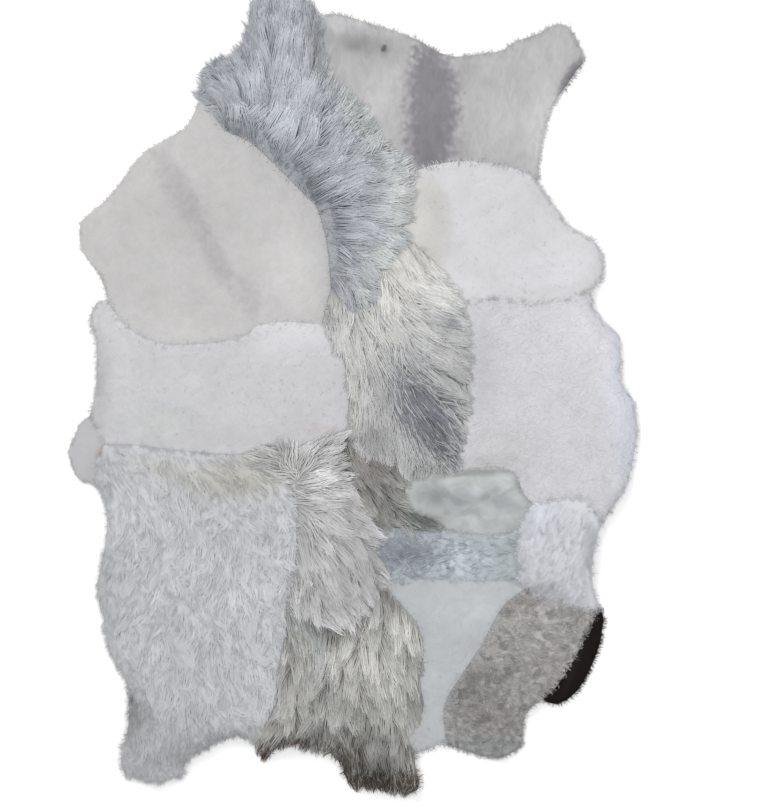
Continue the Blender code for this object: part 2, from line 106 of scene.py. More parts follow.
# For each panel: its kind of hair, changes to that kind, the way the hair lies as (x, y, degrees) on the plan,
# its root and tip colours, up to two more colours, and where they lie as (x, y, radius x, radius y, degrees, strength).
panelLooks = {
    "mane": {
        "kind": "long", "change": {"over": 0.030, "contrast": 0.16, "length": (0.060, 0.130), "rootTint": 0.22, "baseTint": 0.40},
        "flow": [(285, 0, 92), (250, 40, 108), (215, 75, 135), (205, 98, 165), (230, 128, 98), (262, 145, 76),
                 (300, 60, 84), (295, 120, 66), (282, 172, 48), (312, 195, 30), (342, 150, 42), (385, 180, 24),
                 (332, 222, 4), (390, 222, -6), (346, 268, -34), (375, 262, -40), (342, 294, -58)],
        "root": "5B636B", "tip": "C4C7CD", "second": "9EA0A5", "third": "B6BAB9",
        "secondAt": [(283, 187, 64, 12, -52, 1.0), (328, 250, 12, 34, 8, 0.9), (222, 108, 34, 7, -45, 0.7),
                     (205, 90, 7, 24, 0, 0.6), (348, 286, 9, 20, 0, 0.6), (314, 60, 7, 26, 0, 0.5)],
        "thirdAt": [(366, 120, 78, 16, -58, 0.85), (404, 205, 18, 50, 0, 1.0), (386, 262, 20, 24, -40, 0.95),
                    (362, 294, 12, 12, 0, 0.8)],
        "light": [(310, 95, 30, 28, 0, 0.20), (256, 95, 18, 18, 0, 0.18), (285, 135, 20, 20, 0, 0.12), (250, 40, 14, 30, 0, -0.26),
                  (222, 75, 16, 20, 0, -0.14), (262, 165, 30, 10, -48, -0.36), (240, 138, 18, 10, -45, -0.16), (312, 188, 24, 9, -60, -0.24), (226, 135, 14, 10, 0, -0.22),
                  (338, 235, 10, 30, 0, -0.14), (315, 45, 8, 24, 0, -0.16),
                  (404, 200, 14, 48, 0, 0.24), (394, 255, 14, 22, 0, 0.20), (360, 110, 8, 30, 35, 0.10), (374, 142, 10, 24, 0, 0.14)]},
    "top_yoke": {
        "kind": "shorn", "change": {"edge": 0.020, "hollow": 0.10, "mix": 0.30, "grain": (1.0, 0.45, 1.0), "curl": 70},
        "flow": [(350, 40, 140), (430, 110, -90), (520, 80, 20), (575, 50, 60), (540, 150, -20), (380, 80, 100)],
        "root": "7C7976", "tip": "A3A2A3", "second": "716F74", "third": "AAAAAC",
        "secondAt": [(432, 104, 27, 66, 3, 0.85), (430, 138, 24, 36, 0, 0.9), (384, 50, 3, 3.5, 0, 1.0),
                     (572, 78, 8, 22, -35, 0.9)],
        "thirdAt": [(348, 27, 30, 9, -15, 0.9), (475, 60, 40, 6, 0, 0.5), (520, 60, 40, 8, 15, 0.4)],
        "light": [(362, 44, 34, 14, -12, -0.36), (375, 105, 14, 40, -30, 0.16), (550, 135, 20, 50, 0, 0.45), (562, 45, 14, 14, 0, 0.10), (432, 163, 20, 10, 0, -0.14), (380, 145, 12, 22, 0, 0.10), (500, 120, 20, 30, 0, 0.12), (465, 68, 14, 20, 0, -0.14),
                  (463, 160, 8, 16, 0, -0.15), (338, 30, 9, 8, 0, 0.16), (362, 22, 10, 5, 0, 0.16), (394, 33, 9, 5, 10, 0.16),
                  (424, 46, 10, 5, 20, 0.16), (446, 62, 9, 8, 0, 0.14), (352, 48, 8, 4, 0, -0.12),
                  (384, 50, 2.5, 2.5, 0, -0.5)]},
    "left_shorn": {
        "kind": "shorn", "change": {"mix": 0.3, "hollow": 0.05},
        "flow": [(120, 220, 190), (200, 180, 130), (250, 280, -70), (150, 290, 220)],
        "root": "8E8D8B", "tip": "ACABAB", "second": "939092", "third": "CFCFCE",
        "secondAt": [(180, 190, 14, 45, 30, 0.5), (215, 255, 12, 40, 25, 0.5), (250, 300, 12, 25, 10, 0.4)],
        "thirdAt": [],
        # In light, the paler patch at (292, 272) by the right border is a painted highlight on the raised edge beside
        # the mane.
        "light": [(292, 272, 28, 46, 15, 0.17), (190, 218, 44, 26, 0, -0.10), (180, 334, 70, 22, 0, 0.10)]},
    "right_plush": {
        "kind": "plush", "change": {},
        "flow": [(500, 200, 80), (560, 250, 20), (500, 285, -60), (430, 220, 160), (590, 270, 0)],
        "root": "959494", "tip": "BDBDC0", "second": "B1AFAC", "third": "CAC9CD",
        "secondAt": [(425, 225, 26, 50, 0, 0.9)],
        "thirdAt": [(540, 270, 50, 20, 0, 0.4)],
        "light": [(578, 235, 24, 50, 0, 0.10), (418, 225, 14, 34, 0, 0.12), (465, 285, 16, 14, 0, 0.08)]},
    "cream_strip": {
        "kind": "long", "change": {"length": (0.050, 0.115), "contrast": 0.10, "mix": 0.45, "over": 0.024,
                                   "rootTint": 0.45, "baseTint": 0.62},
        "flow": [(340, 322, -80), (350, 372, -90), (372, 300, -75), (402, 258, -58), (392, 340, -70), (422, 300, -30),
                 (446, 302, -20), (440, 345, -12), (440, 380, -24), (402, 402, -62), (360, 425, -100),
                 (388, 458, -95), (440, 440, -44)],
        "root": "7C7C7A", "tip": "C2C3C3", "second": "72757C", "third": "CBCAC6",
        "secondAt": [(450, 322, 11, 9, -20, 0.60), (428, 414, 54, 22, -58, 0.95)],
        "thirdAt": [(392, 268, 52, 46, 0, 0.95), (376, 335, 28, 40, 0, 0.5), (350, 400, 10, 50, 0, 0.4)],
        "light": [(378, 440, 20, 18, 0, -0.30), (440, 440, 18, 16, 0, -0.30), (405, 345, 30, 20, 0, 0.15), (456, 264, 20, 44, 0, 0.22),
                  (435, 304, 26, 18, 0, 0.20), (345, 350, 10, 40, 0, 0.10), (345, 436, 12, 18, 0, -0.30), (432, 380, 20, 12, 0, -0.16), (388, 400, 14, 16, 0, -0.16),
                  (462, 380, 8, 30, 0, -0.18)]},
    "right_curly": {
        "kind": "curly", "change": {"dense": 18000, "contrast": 0.02, "relief": 0.20, "width": 0.0015, "lift": 0.0002, "lump": 0.0003,
                                    "length": (0.010, 0.020), "baseTint": 0.97, "rootTint": 0.95, "share": 0.985,
                                    "sink": 0.0001, "round": 0.12, "curl": 55, "twist": 2.6, "hollow": 0.06, "curlDepth": 0.003},
        "flow": [(560, 340, -80), (500, 350, -110), (600, 380, -60), (500, 440, -130), (580, 470, -70)],
        "root": "85858A", "tip": "BEBEC2", "second": "C0C3CF", "third": "ADABAC",
        "secondAt": [(625, 400, 22, 90, 0, 0.6)],
        "thirdAt": [(500, 450, 45, 30, 0, 0.4)],
        # In light, the darker band at (484, 365) along the left border is painted shade cast by the cream strip's long
        # hair.
        "light": [(484, 365, 16, 48, 0, -0.14), (585, 322, 36, 42, 0, 0.12), (605, 375, 20, 34, 0, 0.08)]},
    "right_longwool": {
        "kind": "long", "change": {"length": (0.035, 0.070), "contrast": 0.03, "baseTint": 0.95, "rootTint": 0.9,
                                   "relief": 0.10, "dense": 60000, "width": 0.0015, "lift": 0.0012, "share": 0.97,
                                   "sink": 0.0003, "lockTone": 0.2, "round": 0.25, "curl": 40, "twist": 1.0,
                                   "curlDepth": 0.001, "hollow": 0.02, "lump": 0.0002, "crimp": 0.0004},
        "flow": [(560, 510, -125), (590, 550, -108), (540, 560, -125), (560, 592, -120)],
        "root": "878A95", "tip": "C3C5CA", "second": "CED3DB", "third": "D0D1D8",
        "secondAt": [(530, 520, 18, 20, 0, 0.6)],
        "thirdAt": [],
        # In light, the darkening at (538, 588) along the lower end is partly painted shade at the seam above the taupe
        # panel and partly darker hair tips.
        "light": [(538, 588, 26, 8, 0, -0.30), (585, 575, 16, 18, 0, -0.08)]},
    "mottled_arch": {
        "kind": "shorn", "change": {"mix": 0.3, "curl": 26, "twist": 0.9, "hollow": 0.24, "curlDepth": 0.0016, "grain": (0.7, 1.0, 1.0)},
        "flow": [(450, 500, -100), (500, 500, -80), (480, 475, -85)],
        "root": "777D7A", "tip": "A4A8A8", "second": "ABAFB1", "third": "9EA09B",
        "secondAt": [(452, 500, 9, 13, 30, 0.9), (476, 492, 10, 7, 0, 0.8), (500, 502, 20, 7, -20, 0.8),
                     (470, 515, 14, 5, 0, 0.6), (512, 490, 8, 14, 20, 0.7)],
        # The thin third-colour lines along the arch's top edge, at (440, 478), (478, 473) and (514, 484), are painted
        # shadow cast by the hair above.
        "thirdAt": [(425, 518, 15, 5, -15, 1.0), (478, 473, 30, 2.5, 4, 0.9), (514, 484, 3, 12, 30, 0.9),
                    (440, 478, 12, 2.5, 25, 0.8)],
        "light": [(436, 496, 14, 12, 0, -0.34), (504, 478, 20, 10, 0, 0.14), (428, 517, 20, 5, -10, -0.30), (455, 485, 24, 8, 0, 0.14),
                  # In light, the darkening along the arch's top edge at (488, 472) and (523, 488) is painted shadow
                  # cast by the hair above.
                  (488, 472, 30, 3, 2, -0.34), (456, 504, 8, 9, 20, -0.30), (500, 500, 20, 8, -20, -0.20),
                  (523, 488, 4, 14, 25, -0.30), (484, 520, 20, 6, 0, 0.16), (450, 484, 12, 7, 0, 0.12), (438, 500, 10, 10, 0, -0.10)]},
    "speckled_saddle": {
        "kind": "wavy", "change": {"contrast": 0.12, "lift": 0.0014, "dense": 90000, "mix": 0.6, "points": 3,
                                   "width": 0.0015, "lockTone": 0.3, "grain": (0.4, 1.0, 1.0)},
        "flow": [(375, 540, -25), (380, 560, -35), (420, 540, -12), (450, 560, 5), (500, 545, -5), (500, 575, 12)],
        "root": "676A75", "tip": "A8AFB3", "second": "7C8189", "third": "BFC5CD",
        "secondAt": [(402, 552, 36, 20, -8, 0.85), (378, 570, 12, 10, 0, 0.6)],
        "thirdAt": [(455, 560, 26, 18, 0, 0.6)],
        "light": [(375, 555, 12, 20, 0, -0.22)]},
    "white_wedge": {
        "kind": "plush", "change": {"contrast": 0.04, "curl": 30, "twist": 1.2, "hollow": 0.07, "curlDepth": 0.002},
        "flow": [(480, 600, -90), (440, 680, -100), (430, 740, -90)],
        "root": "7B7F83", "tip": "A9ACAF", "second": "ADB0B1", "third": "C6C8CD",
        "secondAt": [(432, 650, 10, 60, -5, 0.5)],
        "thirdAt": [],
        "light": [(470, 608, 40, 18, 0, 0.13)]},
    "taupe_curl": {
        "kind": "curly", "change": {"contrast": 0.20, "dense": 42000, "stray": 35, "bend": 70, "relief": 0.3,
                                    "width": 0.0015, "share": 0.95, "lockTone": 0.32, "round": 0.5,
                                    "curl": 95, "twist": 1.2, "curlDepth": 0.003, "hollow": 0.20, "grain": (0.6, 1.0, 1.0)},
        "flow": [(530, 605, -10), (500, 640, -18), (540, 650, 8), (575, 630, 15), (490, 690, -25), (530, 690, 0),
                 (480, 740, -60), (515, 735, -40)],
        "root": "5D5956", "tip": "A5A3A2", "second": "999B9B", "third": "8F8C89",
        "secondAt": [(488, 746, 45, 13, 0, 0.8), (452, 690, 8, 30, 0, 0.5)],
        "thirdAt": [(488, 715, 26, 16, 0, 0.7), (520, 610, 20, 8, 0, 0.6), (548, 660, 20, 20, 0, 0.4)],
        "light": [(528, 617, 26, 13, 0, 0.32), (545, 647, 26, 18, 0, 0.17), (495, 676, 20, 13, 0, -0.17),
                  (466, 690, 15, 22, 0, -0.34), (495, 733, 26, 12, 0, -0.13)]},
    "black_crescent": {
        "kind": "plush", "change": {"dense": 90000, "length": (0.010, 0.018), "over": 0.010, "gloss": 0.06, "sheen": 0.02},
        "flow": [(590, 650, -20), (570, 695, -60), (600, 625, 20)],
        "root": "0B1212", "tip": "171212", "second": "201C1E", "third": "1A1516",
        "secondAt": [(575, 660, 5, 40, -20, 0.6)],
        "thirdAt": [],
        "light": []},
    "dark_tongue": {
        "kind": "long", "change": {"length": (0.040, 0.070)},
        "flow": [(372, 468, -52), (400, 500, -32), (432, 522, -18), (376, 512, -68)],
        "root": "545250", "tip": "B3B4B1", "second": "908B88", "third": "646969",
        "secondAt": [(375, 468, 22, 14, 0, 0.8), (370, 500, 10, 16, 0, 0.5)],
        "thirdAt": [(425, 520, 22, 9, 0, 0.9)],
        "light": [(405, 525, 20, 9, 0, 0.14), (375, 478, 14, 20, 0, -0.22)]},
    "starburst": {
        "kind": "long", "change": {"length": (0.040, 0.105), "over": 0.034, "contrast": 0.15, "mix": 0.5, "rootTint": 0.25,
                                   "baseTint": 0.4},
        "flow": [(312, 482, 2), (322, 520, -30), (302, 542, -72), (332, 562, -58), (352, 530, -32), (350, 592, -55),
                 (302, 592, -85), (268, 462, 165), (285, 476, 190), (330, 450, 25), (300, 462, 60)],
        "root": "848583", "tip": "D9D8DA", "second": "AAABA9", "third": "B2AFAF",
        "secondAt": [(270, 465, 28, 20, 0, 0.85), (330, 600, 30, 16, -20, 0.5)],
        "thirdAt": [(296, 494, 6, 5, 0, 0.8), (318, 452, 30, 4, -10, 0.6), (352, 505, 24, 4, -25, 0.8),
                    (345, 545, 24, 4, -40, 0.7), (362, 575, 16, 5, -60, 0.6)],
        "light": [(312, 474, 22, 20, 0, 0.46), (342, 462, 10, 14, 0, -0.2), (312, 556, 10, 20, 0, -0.18), (312, 520, 16, 28, 0, 0.16), (350, 528, 13, 24, 0, -0.17),
                  (348, 588, 16, 18, 0, -0.28), (372, 560, 12, 22, 0, -0.24)]},
    "lower_left_leg": {
        "kind": "wavy", "change": {"length": (0.034, 0.070), "contrast": 0.10, "lift": 0.0022, "curl": 50, "twist": 1.2,
                                   "curlDepth": 0.0016, "hollow": 0.05, "grain": (1.0, 0.4, 1.0), "mix": 0.3},
        "flow": [(150, 480, -60), (230, 470, -30), (200, 500, -70), (115, 550, -120), (200, 560, -90), (272, 560, -80),
                 (130, 650, -110), (200, 650, -86), (250, 680, -76), (150, 740, -100), (230, 722, -68)],
        "root": "777B7D", "tip": "BDBEC1", "second": "B2B4B7", "third": "B2B1AB",
        "secondAt": [(118, 560, 22, 110, 0, 0.6), (165, 755, 40, 20, 0, 0.6)],
        "thirdAt": [(240, 478, 50, 20, 6, 0.9), (175, 470, 44, 10, -5, 0.6)],
        "light": [(134, 715, 16, 30, 0, -0.38), (150, 765, 40, 12, 0, -0.12), (180, 748, 50, 18, 0, -0.16), (240, 735, 24, 14, 0, -0.16),
                  # In light, the darkening at (106, 585) along the left rim is painted shade.
                  (106, 585, 12, 30, 0, -0.12), (125, 520, 30, 42, 0, 0.10), (250, 592, 26, 24, 0, 0.10),
                  (230, 488, 34, 12, 0, -0.10), (133, 698, 3, 3, 0, -0.6), (108, 462, 14, 12, 0, -0.12),
                  (160, 715, 40, 22, 0, -0.08), (225, 740, 30, 14, 0, -0.08), (195, 570, 26, 34, 0, 0.07),
                  (282, 530, 16, 44, 0, 0.08)]},
    "lower_centre_leg": {
        "kind": "long", "change": {"length": (0.045, 0.100), "mix": 0.55, "contrast": 0.22, "lock": 0.022},
        "flow": [(300, 620, -75), (350, 650, -100), (400, 640, -76), (300, 700, -95), (350, 730, -86),
                 (330, 670, -105), (380, 690, -78), (400, 770, -80), (272, 740, -108)],
        "root": "7A7976", "tip": "C8C8C4", "second": "BBBFC0", "third": "392816",
        "secondAt": [(305, 612, 15, 26, 20, 0.9), (318, 645, 8, 30, 10, 0.6), (285, 600, 6, 30, 0, 0.7)],
        "thirdAt": [(270, 756, 20, 10, 10, 0.9), (368, 783, 44, 16, -8, 0.85), (400, 785, 22, 14, 0, 0.8),
                    (300, 744, 24, 7, 0, 0.7), (344, 760, 22, 18, 0, 0.65)],
        "light": [(318, 622, 24, 18, 0, -0.50), (315, 668, 14, 24, 0, -0.13), (405, 620, 18, 26, 0, 0.66), (346, 606, 14, 12, 0, -0.3), (350, 650, 28, 20, 0, 0.46),
                  (350, 682, 30, 18, 0, 0.14), (392, 692, 22, 26, 0, 0.14), (296, 705, 22, 18, 0, -0.17),
                  (316, 736, 24, 13, 0, -0.42), (382, 738, 30, 11, 0, -0.42), (350, 764, 26, 13, 0, -0.62),
                  (386, 768, 22, 16, 0, -0.50)]},
    "left_plush": {
        "kind": "plush", "change": {"contrast": 0.03, "curl": 32, "twist": 1.4, "hollow": 0.05, "curlDepth": 0.002},
        "flow": [(120, 350, -120), (200, 380, -95), (300, 380, -80), (330, 400, -60), (250, 330, -60)],
        "root": "85868A", "tip": "B5B5B8", "second": "A9ACA6", "third": "AAA4A4",
        "secondAt": [(160, 420, 40, 20, 0, 0.4)],
        "thirdAt": [(320, 430, 20, 10, 0, 0.5)],
        # In light, the darkening at (103, 390) along the left rim is painted shade.
        "light": [(300, 328, 50, 26, 0, 0.20), (160, 326, 60, 18, 0, 0.10), (103, 390, 9, 42, 0, -0.17),
                  (225, 437, 60, 10, 0, -0.06)]},
    "left_tab": {
        "kind": "shorn", "change": {},
        "flow": [(85, 450, 180)],
        "root": "818184", "tip": "A7A7AA", "second": "9B8A78", "third": "BDBDC0",
        "secondAt": [(104, 455, 9, 10, 0, 0.5)],
        "thirdAt": [],
        "light": []},
}


def linearColour(hexCode):
    values = [int(hexCode[n:n + 2], 16) / 255 for n in (0, 2, 4)]
    return (*[v / 12.92 if v <= 0.04045 else ((v + 0.055) / 1.055) ** 2.4 for v in values], 1.0)


# Adds one node with its settings, and links it: inputs maps a socket to a value or to another node's socket.
def addNode(tree, kind, settings, inputs):
    node = tree.nodes.new(kind)
    for key, value in settings.items():
        setattr(node, key, value)
    for key, value in inputs.items():
        if isinstance(value, bpy.types.NodeSocket):
            tree.links.new(value, node.inputs[key])
        else:
            node.inputs[key].default_value = value
    return node


def newMaterial(name):
    material = bpy.data.materials.new(name)
    material.use_nodes = True
    return material, material.node_tree, material.node_tree.nodes["Principled BSDF"]


# Sheep's wool, washed and combed: matte, paler towards the tips, each strand a little lighter or darker than the next.
# The attribute woolShade holds the place along the strand, its lightness and the shares of the second and third colours.
def woolMaterial(name, look, hair):
    material, tree, shader = newMaterial(name)
    shade = addNode(tree, "ShaderNodeAttribute", {"attribute_name": "woolShade"}, {})
    parts = addNode(tree, "ShaderNodeSeparateColor", {}, {"Color": shade.outputs["Color"]})
    along, light, second = (parts.outputs[n] for n in ("Red", "Green", "Blue"))
    mixed = addNode(tree, "ShaderNodeMix", {"data_type": "RGBA"},
                    {"Factor": along, "A": linearColour(look["root"]), "B": linearColour(look["tip"])})
    place = addNode(tree, "ShaderNodeTexCoord", {}, {})
    # Borders between colours are broken up by flecks about 12 mm across.
    fleck = addNode(tree, "ShaderNodeTexNoise", {}, {"Vector": place.outputs["Object"], "Scale": 80.0, "Detail": 4.0})
    patched = mixed
    for share, colour in ((shade.outputs["Alpha"], look["third"]), (second, look["second"])):
        broken = addNode(tree, "ShaderNodeMath", {"operation": "MULTIPLY_ADD"},
                         {0: fleck.outputs["Fac"], 1: 0.8, 2: share})
        sharp = addNode(tree, "ShaderNodeMapRange", {"interpolation_type": "SMOOTHSTEP"},
                        {"Value": broken.outputs["Value"], "From Min": 0.40, "From Max": 1.20})
        held = addNode(tree, "ShaderNodeMath", {"operation": "MULTIPLY", "use_clamp": True},
                       {0: sharp.outputs["Result"], 1: share})
        eased = addNode(tree, "ShaderNodeMath", {"operation": "POWER", "use_clamp": True},
                        {0: held.outputs["Value"], 1: 0.7})
        patched = addNode(tree, "ShaderNodeMix", {"data_type": "RGBA"},
                          {"Factor": eased.outputs["Value"], "A": patched.outputs["Result"],
                           "B": linearColour(colour)})
    # Clouds of paler and darker wool about 45 mm across.
    cloud = addNode(tree, "ShaderNodeTexNoise", {}, {"Vector": place.outputs["Object"], "Scale": 22.0, "Detail": 3.0})
    clouded = addNode(tree, "ShaderNodeMapRange", {},
                      {"Value": cloud.outputs["Fac"], "From Min": 0.3, "From Max": 0.7, "To Min": 0.96, "To Max": 1.03})
    # Curls too small for strands: twisted noise, with painted shade in its hollows and a faint painted highlight on its
    # crests; where strong it also mottles the wool.
    drawn = addNode(tree, "ShaderNodeVectorMath", {"operation": "MULTIPLY"},
                    {0: place.outputs["Object"], 1: hair["grain"]})
    curl = addNode(tree, "ShaderNodeTexNoise", {}, {"Vector": drawn.outputs["Vector"], "Scale": hair["curl"],
                                                    "Detail": 3.0, "Distortion": hair["twist"]})
    hollow = addNode(tree, "ShaderNodeMapRange", {},
                     {"Value": curl.outputs["Fac"], "From Min": 0.32, "From Max": 0.62,
                      "To Min": 1 - hair["hollow"], "To Max": 1 + 0.2 * hair["hollow"]})
    depth = light
    for factor in (clouded, hollow):
        depth = addNode(tree, "ShaderNodeMath", {"operation": "MULTIPLY"},
                        {0: depth, 1: factor.outputs["Result"]}).outputs["Value"]
    lit = addNode(tree, "ShaderNodeVectorMath", {"operation": "SCALE"},
                  {0: patched.outputs["Result"], "Scale": depth})
    tree.links.new(lit.outputs["Vector"], shader.inputs["Base Color"])
    curled = addNode(tree, "ShaderNodeBump", {},
                     {"Height": curl.outputs["Fac"], "Strength": 1.0, "Distance": hair["curlDepth"]})
    # Crimp of single fibres, drawn at 2 mm because the real 0.3 mm is too fine to show.
    crimp = addNode(tree, "ShaderNodeTexNoise", {}, {"Vector": place.outputs["Object"], "Scale": 500.0, "Detail": 2.0})
    bump = addNode(tree, "ShaderNodeBump", {}, {"Height": crimp.outputs["Fac"], "Strength": 0.6,
                                                "Distance": hair["crimp"], "Normal": curled.outputs["Normal"]})
    tree.links.new(bump.outputs["Normal"], shader.inputs["Normal"])
    shader.inputs["Roughness"].default_value = hair["roughness"]
    shader.inputs["Specular IOR Level"].default_value = hair["gloss"]
    shader.inputs["Sheen Weight"].default_value = hair["sheen"]
    shader.inputs["Sheen Roughness"].default_value = 0.5
    return material


# Tanned skin side, buffed to a nap: pale tan suede with darker pores and blotches.
def suedeMaterial():
    material, tree, shader = newMaterial("buffedSuede")
    place = addNode(tree, "ShaderNodeTexCoord", {}, {})
    blotch = addNode(tree, "ShaderNodeTexNoise", {}, {"Vector": place.outputs["Object"], "Scale": 14.0, "Detail": 5.0})
    pores = addNode(tree, "ShaderNodeTexNoise", {}, {"Vector": place.outputs["Object"], "Scale": 900.0, "Detail": 2.0})
    colour = addNode(tree, "ShaderNodeMix", {"data_type": "RGBA"},
                     {"Factor": blotch.outputs["Fac"], "A": linearColour(skinChoices["colour"]),
                      "B": linearColour(skinChoices["nap"])})
    bump = addNode(tree, "ShaderNodeBump", {}, {"Height": pores.outputs["Fac"], "Strength": 0.4, "Distance": 0.0004})
    tree.links.new(colour.outputs["Result"], shader.inputs["Base Color"])
    tree.links.new(bump.outputs["Normal"], shader.inputs["Normal"])
    shader.inputs["Roughness"].default_value = 0.9
    return material


def planPlace(x, y):
    return np.array([(x - planMiddle[0]) * planSquare, (planMiddle[1] - y) * planSquare])


# A panel's skin outline, read round the flat underside of its node without the rim locks' short tips.
def panelOutline(node):
    mesh = node.data
    points = np.array([vertex.co for vertex in mesh.vertices])
    _, index = np.unique(np.round(points, 5), axis=0, return_inverse=True)
    index = index.reshape(-1)
    places = np.zeros((index.max() + 1, 3))
    places[index] = points
    edges = set()
    for polygon in mesh.polygons:
        corners = [int(index[v]) for v in polygon.vertices]
        if max(places[c][2] for c in corners) < 1e-4:
            edges |= set(zip(corners, corners[1:] + corners[:1]))
    following = {a: b for a, b in edges if (b, a) not in edges}
    start = next(iter(following))
    loop = [start]
    while following[loop[-1]] != start:
        loop.append(following[loop[-1]])
    loop = places[loop][:, :2]
    steps = np.linalg.norm(np.roll(loop, -1, axis=0) - loop, axis=1)
    tips = (steps < 0.0045) & (np.roll(steps, 1) > 0.006) & (np.roll(steps, -1) > 0.006)
    loop = loop[~(tips | np.roll(tips, 1))]
    area = np.cross(loop, np.roll(loop, -1, axis=0)).sum() / 2
    return loop if area > 0 else loop[::-1]


def insideOutline(places, outline):
    found = np.zeros(len(places), bool)
    for a, b in zip(outline, np.roll(outline, -1, axis=0)):
        if a[1] == b[1]:
            continue
        cross = a[0] + (places[:, 1] - a[1]) / (b[1] - a[1]) * (b[0] - a[0])
        found ^= ((a[1] > places[:, 1]) != (b[1] > places[:, 1])) & (places[:, 0] < cross)
    return found


def outlineArea(outline):
    return abs(np.cross(outline, np.roll(outline, -1, axis=0)).sum()) / 2


def randomInside(outline, count, chance):
    low, high = outline.min(0), outline.max(0)
    kept = np.zeros((0, 2))
    while len(kept) < count:
        tried = chance.uniform(low, high, (count * 2, 2))
        kept = np.concatenate([kept, tried[insideOutline(tried, outline)]])
    return kept[:count]


# The height of the pile everywhere, looked up on a grid: rays fall on the solids, and the result is softened.
def measureSurface():
    points, faces = [], []
    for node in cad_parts.values():
        first = len(points)
        points += [vertex.co.copy() for vertex in node.data.vertices]
        faces += [[first + v for v in polygon.vertices] for polygon in node.data.polygons]
    tree = BVHTree.FromPolygons(points, faces)
    step = surfaceChoices["grid"]
    low = np.array(boxAtLoad[0][:2]) - 10 * step
    size = np.ceil((np.array(boxAtLoad[1][:2]) + 10 * step - low) / step).astype(int)
    heights = np.zeros(size)
    down = Vector((0, 0, -1))
    for column in range(size[0]):
        for row in range(size[1]):
            hit = tree.ray_cast(Vector((low[0] + column * step, low[1] + row * step, 1)), down)[0]
            heights[column, row] = hit.z if hit else 0
    # Wool closes over the seams: furrows narrower than twice the bridge are partly filled.
    closed = heights
    for pick in (np.maximum, np.minimum):
        for axis in (0, 1):
            spread = closed
            for shift in range(1, surfaceChoices["bridge"] + 1):
                spread = pick(spread, pick(np.roll(closed, shift, axis), np.roll(closed, -shift, axis)))
            closed = spread
    heights = np.where(heights > 0, heights + surfaceChoices["fill"] * (closed - heights), 0)
    for _ in range(surfaceChoices["blur"]):
        for axis in (0, 1):
            heights = (np.roll(heights, 1, axis) + 2 * heights + np.roll(heights, -1, axis)) / 4
    return low, step, heights


surfaceLow, surfaceStep, surfaceHeights = measureSurface()
print("stage 2: pile heights measured")


def pileAt(places):
    at = (places - surfaceLow) / surfaceStep
    at = np.clip(at, 0, np.array(surfaceHeights.shape) - 1.001)
    cell = at.astype(int)
    x, y = (at - cell)[..., 0], (at - cell)[..., 1]
    column, row = cell[..., 0], cell[..., 1]
    return (surfaceHeights[column, row] * (1 - x) * (1 - y) + surfaceHeights[column + 1, row] * x * (1 - y)
            + surfaceHeights[column, row + 1] * (1 - x) * y + surfaceHeights[column + 1, row + 1] * x * y)


# The way the hair lies at each place, from the panel's own marks, the nearer the stronger.
def hairWay(places, marks):
    spots = np.array([planPlace(x, y) for x, y, _ in marks])
    ways = np.radians([angle for _, _, angle in marks])
    away = ((places[:, None, :] - spots[None]) ** 2).sum(2) + 2e-4
    weights = away ** -1.3
    return np.arctan2((weights * np.sin(ways)).sum(1), (weights * np.cos(ways)).sum(1))


# How far each place lies from a patch's middle, 1 at its border.
def patchReach(places, x, y, radiusX, radiusY, turn):
    away = places - planPlace(x, y)
    angle = math.radians(turn)
    across = (away[:, 0] * math.cos(angle) + away[:, 1] * math.sin(angle)) / (radiusX * planSquare)
    up = (away[:, 1] * math.cos(angle) - away[:, 0] * math.sin(angle)) / (radiusY * planSquare)
    return np.hypot(across, up)


# How strongly each place takes one of the extra colours, with soft uneven borders.
def patchShare(places, patches, unevenness):
    share = np.zeros(len(places))
    for *patch, strength in patches:
        near = 1.35 - patchReach(places, *patch) + unevenness
        share = np.maximum(share, strength * np.clip(near / 0.7, 0, 1))
    return share


# How light the wool is at each place: paler and darker clouds over its own tone, which runs from 0 to 1. A few clouds
# are painted shade and one a painted highlight, each marked in the panel table.
def woolLight(places, look, tone, contrast):
    clouds = np.ones(len(places))
    for *patch, amount in look["light"]:
        clouds += amount * np.exp(-patchReach(places, *patch) ** 2)
    return clouds * (1 - 0.3 * contrast + 2.6 * contrast * (tone - 0.5))


# A strand's course: it starts at its root and follows the flow, turning by its own bend.
def followFlow(starts, lengths, turns, bends, marks, pointCount):
    course = [starts]
    for number in range(pointCount - 1):
        way = hairWay(course[-1], marks) + turns + bends * (number + 0.5) / (pointCount - 1)
        step = lengths / (pointCount - 1)
        course.append(course[-1] + np.stack([np.cos(way), np.sin(way)], 1) * step[:, None])
    return np.stack(course, 1)


# How far each strand can run from its root before it leaves the panel.
def runInside(roots, turns, bends, outline, marks, longest):
    steps = 12
    course = followFlow(roots, np.full(len(roots), longest), turns, bends, marks, steps)
    inside = insideOutline(course.reshape(-1, 2), outline).reshape(len(roots), steps)
    return longest * np.where(inside.all(1), steps, np.argmin(inside, axis=1)) / (steps - 1)


# What the material needs at each point of each strand: lightness and the shares of the second and third colours.
def shadeStrands(courses, look, hair, tone, uneven):
    count, points, _ = courses.shape
    places = courses.reshape(-1, 2)
    light = woolLight(places, look, np.repeat(tone, points), hair["contrast"])
    second, third = (patchShare(places, look[key], uneven) for key in ("secondAt", "thirdAt"))
    return np.stack([light, second, third], 1).reshape(count, points, 3)


